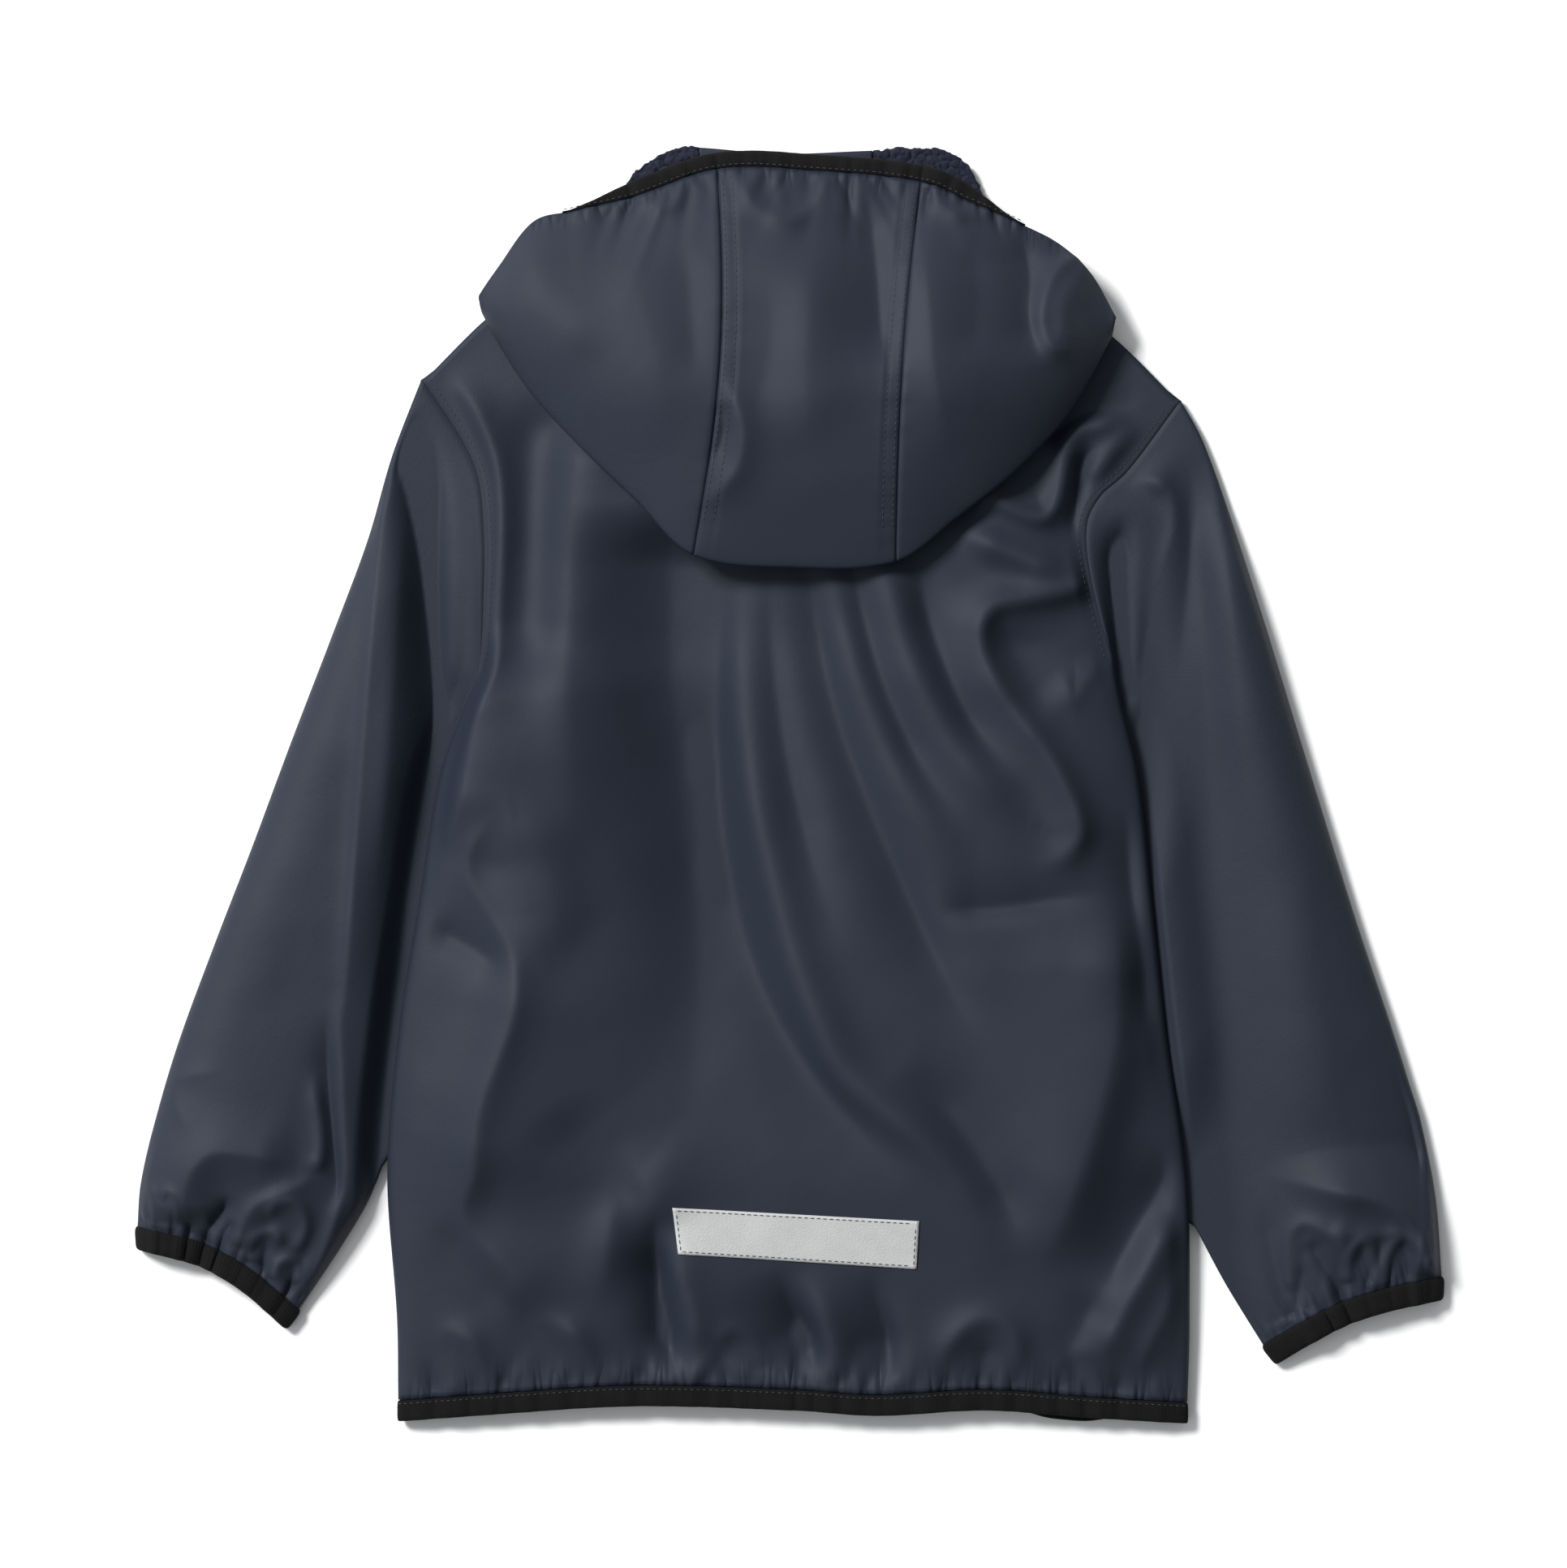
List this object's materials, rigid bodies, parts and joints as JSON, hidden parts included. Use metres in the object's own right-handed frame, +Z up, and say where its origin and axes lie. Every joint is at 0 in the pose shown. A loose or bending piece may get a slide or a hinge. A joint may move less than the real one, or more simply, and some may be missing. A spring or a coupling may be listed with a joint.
{
  "type": "hooded fleece-lined jacket",
  "caption": "Child's hooded jacket of smooth coated cloth with fleece lining, zip front and elastic-bound hood, cuffs and hem, laid flat face down with the hood folded back.",
  "frame": {"origin": "centre of the bounding box in plan, on the surface that the jacket lies on", "axes": "+Z up out of the jacket's back, +Y toward the hood, +X toward the wearer's right arm"},
  "size_m": [0.6198, 0.6062, 0.0516],
  "materials": {
    "coated_cloth": "smooth satin coating",
    "elastic_binding": "matt ribbed elastic",
    "fleece": "curly pile",
    "reflective_strip": "silver grey retroreflective",
    "zip_tape": "woven",
    "zip_metal": "dark enamel"
  },
  "bodies": {
    "jacket": {"back": "coated_cloth", "front_left": "coated_cloth", "front_right": "coated_cloth", "sleeve_left": "coated_cloth", "under_sleeve_left": "coated_cloth", "sleeve_right": "coated_cloth", "under_sleeve_right": "coated_cloth", "cuff_binding_left": "elastic_binding", "cuff_binding_right": "elastic_binding", "hem_binding": "elastic_binding", "hood_left": "coated_cloth", "hood_centre": "coated_cloth", "hood_right": "coated_cloth", "hood_binding": "elastic_binding", "collar_left": "coated_cloth", "collar_right": "coated_cloth", "lining_left": "fleece", "lining_right": "fleece", "chin_guard": "coated_cloth", "reflective_strip": "reflective_strip", "zip_tape_left": "zip_tape", "zip_end_left": "zip_tape", "zip_tape_right": "zip_tape", "zip_end_right": "zip_tape", "zip_slider": "zip_metal"},
    "pull_tab": {"zip_pull": "zip_metal"}
  },
  "joints": [
    {"name": "pull_tab_hinge", "type": "hinge", "parent": "jacket", "child": "pull_tab", "pos_m": [-0.002, 0.288, 0.00185], "axis": [1, 0, 0], "range_deg": [0, 175]}
  ]
}
